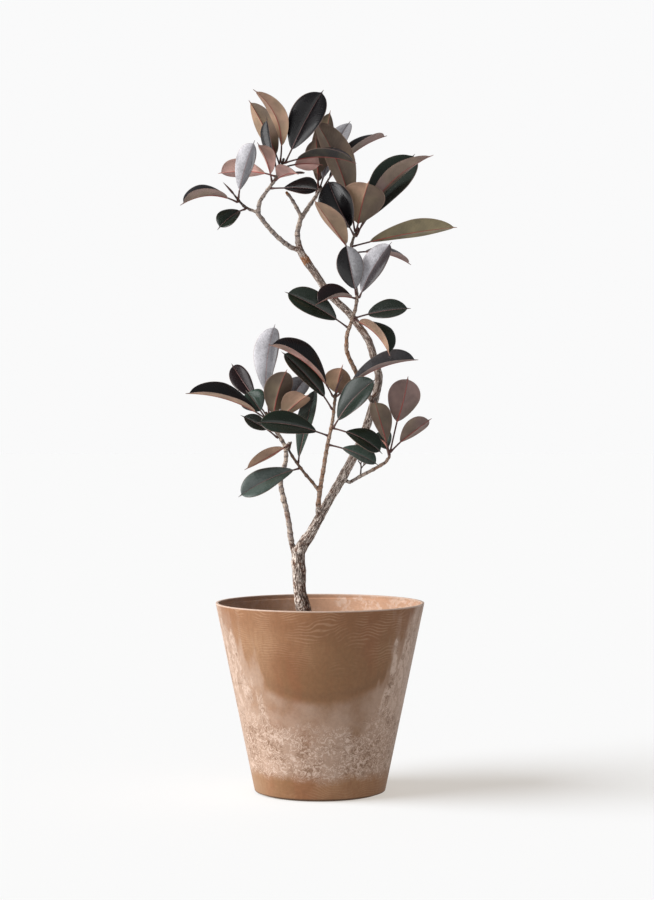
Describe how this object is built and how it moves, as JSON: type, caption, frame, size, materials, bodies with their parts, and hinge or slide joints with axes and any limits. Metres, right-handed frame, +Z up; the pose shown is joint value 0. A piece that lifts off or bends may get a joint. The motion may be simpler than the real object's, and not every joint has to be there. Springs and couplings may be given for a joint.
{
  "type": "potted rubber plant",
  "caption": "Dark-leaved rubber plant with a crooked branching stem, standing in soil in a round tapered planter.",
  "frame": {"origin": "centre of the planter's flat underside", "axes": "+Z up, the plant faces -Y and its left is -X"},
  "size_m": [0.432, 0.3294, 1.1021],
  "materials": {
    "planter": "matte",
    "bark": "matte",
    "soil": "matte",
    "leaf": "satin",
    "bud_sheath": "satin"
  },
  "bodies": {
    "root": {"planter": "planter", "woody_stem": "bark", "potting_soil": "soil", "leaf_upper_left_1": "leaf", "leaf_upper_left_2": "leaf", "leaf_upper_left_3": "leaf", "leaf_upper_left_4": "leaf", "leaf_upper_left_5": "leaf", "leaf_upper_left_6": "leaf", "leaf_upper_left_7": "leaf", "leaf_upper_left_8": "leaf", "leaf_upper_left_9": "leaf", "leaf_upper_left_10": "leaf", "leaf_upper_left_twig_1": "leaf", "leaf_upper_left_twig_2": "leaf", "leaf_upper_left_twig_3": "leaf", "leaf_upper_right_1": "leaf", "leaf_upper_right_2": "leaf", "leaf_upper_right_3": "leaf", "leaf_upper_right_4": "leaf", "leaf_side_stem_1": "leaf", "leaf_side_stem_2": "leaf", "leaf_side_stem_3": "leaf", "leaf_side_stem_4": "leaf", "leaf_side_stem_5": "leaf", "leaf_side_stem_6": "leaf", "leaf_side_stem_7": "leaf", "leaf_side_stem_8": "leaf", "leaf_side_stem_9": "leaf", "leaf_side_stem_10": "leaf", "leaf_side_stem_11": "leaf", "leaf_side_stem_12": "leaf", "leaf_side_stem_13": "leaf", "leaf_side_stem_14": "leaf", "leaf_left_stem_1": "leaf", "leaf_left_stem_2": "leaf", "leaf_left_stem_3": "leaf", "leaf_left_stem_4": "leaf", "leaf_left_stem_5": "leaf", "leaf_left_stem_6": "leaf", "leaf_left_stem_7": "leaf", "leaf_left_stem_8": "leaf", "leaf_middle_twig_1": "leaf", "leaf_middle_twig_2": "leaf", "leaf_middle_twig_3": "leaf", "leaf_middle_stem_1": "leaf", "leaf_middle_stem_2": "leaf", "leaf_middle_stem_3": "leaf", "leaf_middle_stem_4": "leaf", "leaf_middle_stem_5": "leaf", "leaf_middle_stem_6": "leaf", "leaf_middle_stem_7": "leaf", "leaf_middle_stem_8": "leaf", "leaf_low_branch_1": "leaf", "leaf_low_branch_2": "leaf", "leaf_low_branch_3": "leaf", "leaf_low_branch_4": "leaf", "bud_upper_left_twig": "bud_sheath", "bud_middle_stem": "bud_sheath", "bud_low_branch": "bud_sheath"}
  },
  "joints": []
}
